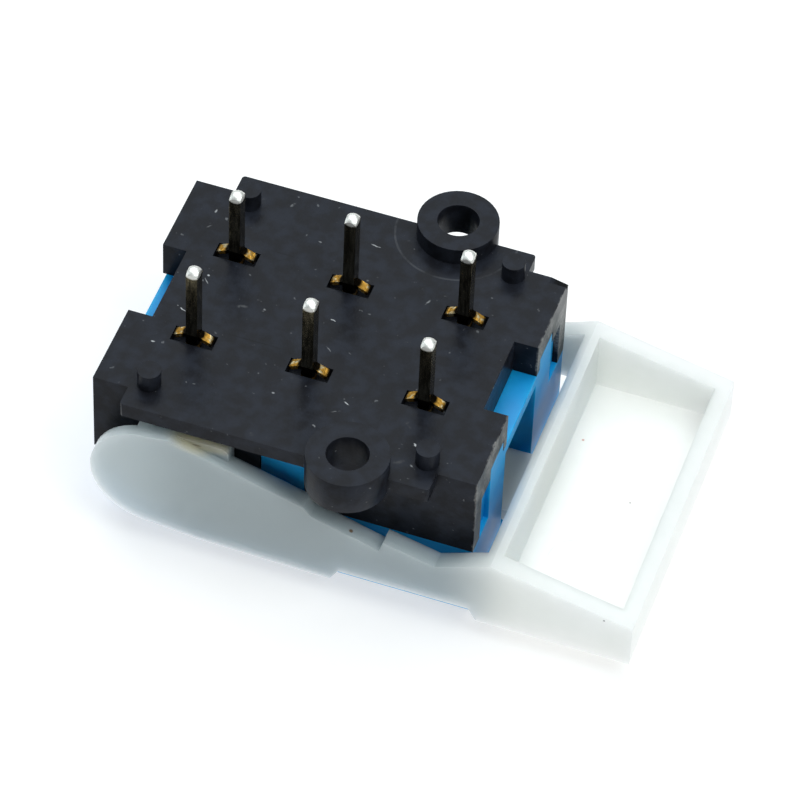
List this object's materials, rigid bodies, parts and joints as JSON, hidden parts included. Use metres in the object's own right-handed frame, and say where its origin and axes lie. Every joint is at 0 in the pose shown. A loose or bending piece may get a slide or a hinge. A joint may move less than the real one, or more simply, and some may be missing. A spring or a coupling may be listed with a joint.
{
  "type": "hook switch",
  "caption": "Board-mounted telephone hook switch: black pinned base on a blue housing, straddled by a milky sprung lever with a tray-shaped paddle that works changeover contacts.",
  "frame": {"origin": "midpoint between the two screw bosses, on the plane where the bosses and standoff pegs seat on the board", "axes": "+Z out of the switch along the pins, towards the board; +X towards the paddle; +Y across the switch"},
  "size_m": [0.0241, 0.0174, 0.0122],
  "materials": {
    "base_plastic": "black moulded plastic with fine scuffs",
    "housing_plastic": "blue moulded plastic",
    "lever_plastic": "milky, slightly translucent moulded plastic",
    "card_plastic": "natural moulded plastic",
    "terminal_brass": "tinned brass, bare at the ears",
    "leaf_bronze": "rolled spring bronze",
    "contact_silver": "silver contact metal",
    "spring_steel": "drawn spring wire"
  },
  "bodies": {
    "body": {"base": "base_plastic", "housing": "housing_plastic", "common_terminal_a": "terminal_brass", "common_terminal_b": "terminal_brass", "make_terminal_a": "terminal_brass", "make_terminal_b": "terminal_brass", "break_terminal_a": "terminal_brass", "break_terminal_b": "terminal_brass", "make_contact_a": "contact_silver", "make_contact_b": "contact_silver", "break_contact_a": "contact_silver", "break_contact_b": "contact_silver", "return_spring": "spring_steel"},
    "lever": {"lever": "lever_plastic"},
    "card": {"push_card": "card_plastic"},
    "leaf_a": {"contact_leaf_a": "leaf_bronze", "leaf_contact_a": "contact_silver"},
    "leaf_b": {"contact_leaf_b": "leaf_bronze", "leaf_contact_b": "contact_silver"}
  },
  "joints": [
    {"name": "lever_press", "type": "hinge", "parent": "body", "child": "lever", "pos_m": [-0.00852, 0, -0.00475], "axis": [0, -1, 0], "range_deg": [0, 9], "stiffness_Nm_per_rad": 0.025, "springref_deg": -2.01},
    {"name": "card_lift", "type": "slide", "parent": "body", "child": "card", "axis": [0, 0, 1], "range_m": [0, 0.00116], "deforming": ["return_spring"]},
    {"name": "leaf_a_bend", "type": "hinge", "parent": "body", "child": "leaf_a", "pos_m": [-0.00796, -0.00254, -0.00533], "axis": [0, -1, 0], "range_deg": [0, 9.65]},
    {"name": "leaf_b_bend", "type": "hinge", "parent": "body", "child": "leaf_b", "pos_m": [-0.00796, 0.00254, -0.00533], "axis": [0, -1, 0], "range_deg": [0, 9.65]}
  ],
  "couplings": [
    {"joint": "card_lift", "follows": "lever_press", "m_per_rad": 0.00736},
    {"joint": "leaf_a_bend", "follows": "lever_press", "ratio": 1.07},
    {"joint": "leaf_b_bend", "follows": "lever_press", "ratio": 1.07}
  ]
}
